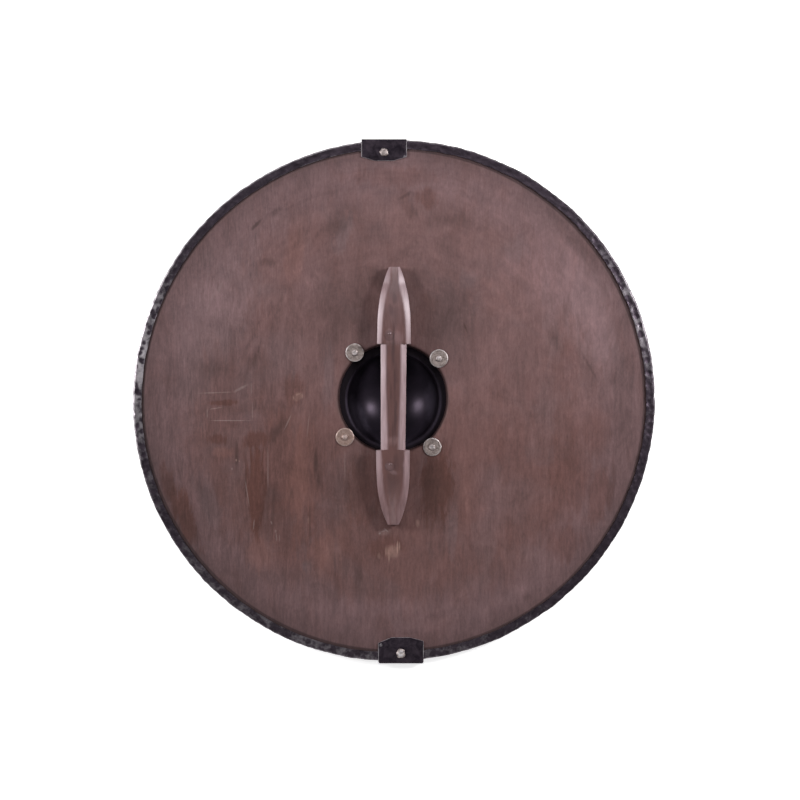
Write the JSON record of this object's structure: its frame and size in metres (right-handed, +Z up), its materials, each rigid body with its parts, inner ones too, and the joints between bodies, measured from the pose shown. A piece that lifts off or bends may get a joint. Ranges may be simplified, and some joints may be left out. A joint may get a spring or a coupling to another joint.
{
  "type": "wooden round shield",
  "caption": "Flat round wooden shield with a folded hammered steel rim, clips over the rim joints, a domed steel boss and a carved wooden centre grip.",
  "frame": {"origin": "middle of the bounding box's underside, on the floor below the shield as it lies", "axes": "+Z up, +X to the shield's right and +Y towards its raised top edge as its back is looked at"},
  "size_m": [0.609, 0.6084, 0.1093],
  "materials": {
    "stained_board": "mauve brown stain on plywood, streaked and scuffed",
    "stained_grip": "mauve brown stain on carved hardwood, satin, rubbed on its edges",
    "black_boss": "black paint on pressed steel, satin",
    "hammered_rim": "blackened and hammered, rubbed bright on its ridges",
    "black_clip": "blackened sheet, edges rubbed bright",
    "bare_rivet": "peened bare steel",
    "bare_washer": "dull bare steel",
    "stained_rivet": "stained over with the grip"
  },
  "bodies": {
    "root": {"board": "stained_board", "boss": "black_boss", "grip": "stained_grip", "rim_left": "hammered_rim", "rim_right": "hammered_rim", "clip_top": "black_clip", "clip_bottom": "black_clip", "clip_rivet_top": "bare_rivet", "clip_rivet_bottom": "bare_rivet", "boss_rivet_upper_right": "bare_rivet", "boss_rivet_upper_left": "bare_rivet", "boss_rivet_lower_left": "bare_rivet", "boss_rivet_lower_right": "bare_rivet", "boss_washer_upper_right": "bare_washer", "boss_washer_upper_left": "bare_washer", "boss_washer_lower_left": "bare_washer", "boss_washer_lower_right": "bare_washer", "grip_rivet_upper": "stained_rivet", "grip_rivet_lower": "stained_rivet"}
  },
  "joints": []
}
